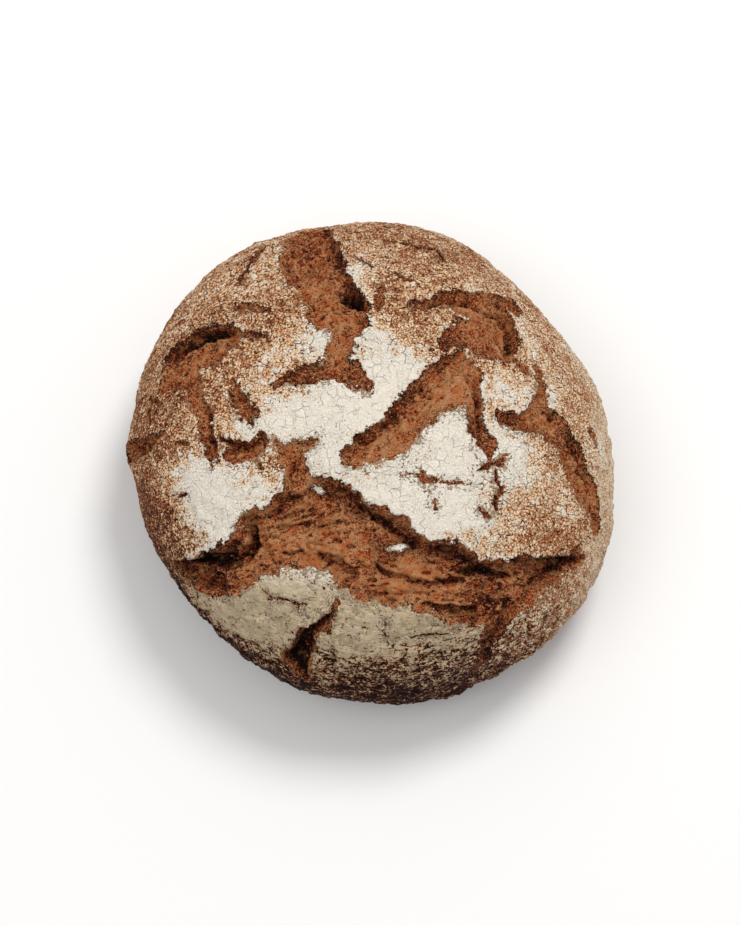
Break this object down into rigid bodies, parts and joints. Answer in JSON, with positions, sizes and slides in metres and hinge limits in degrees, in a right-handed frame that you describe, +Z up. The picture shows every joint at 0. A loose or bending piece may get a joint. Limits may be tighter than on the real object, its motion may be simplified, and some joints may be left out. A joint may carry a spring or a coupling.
{
  "type": "rye bread loaf",
  "caption": "Round uncut rye bread loaf with a burst, flour-dusted crust, resting on its flat base.",
  "frame": {"origin": "middle of the loaf's box, on the surface it rests on", "axes": "+Z up through the crown; +Y towards the back of the loaf, its longer side by a little; +X to the right"},
  "size_m": [0.2226, 0.2322, 0.1012],
  "materials": {
    "crust": "dry baked crust, red-brown with pale flour on top and dark in the tears"
  },
  "bodies": {
    "root": {"loaf": "crust"}
  },
  "joints": []
}
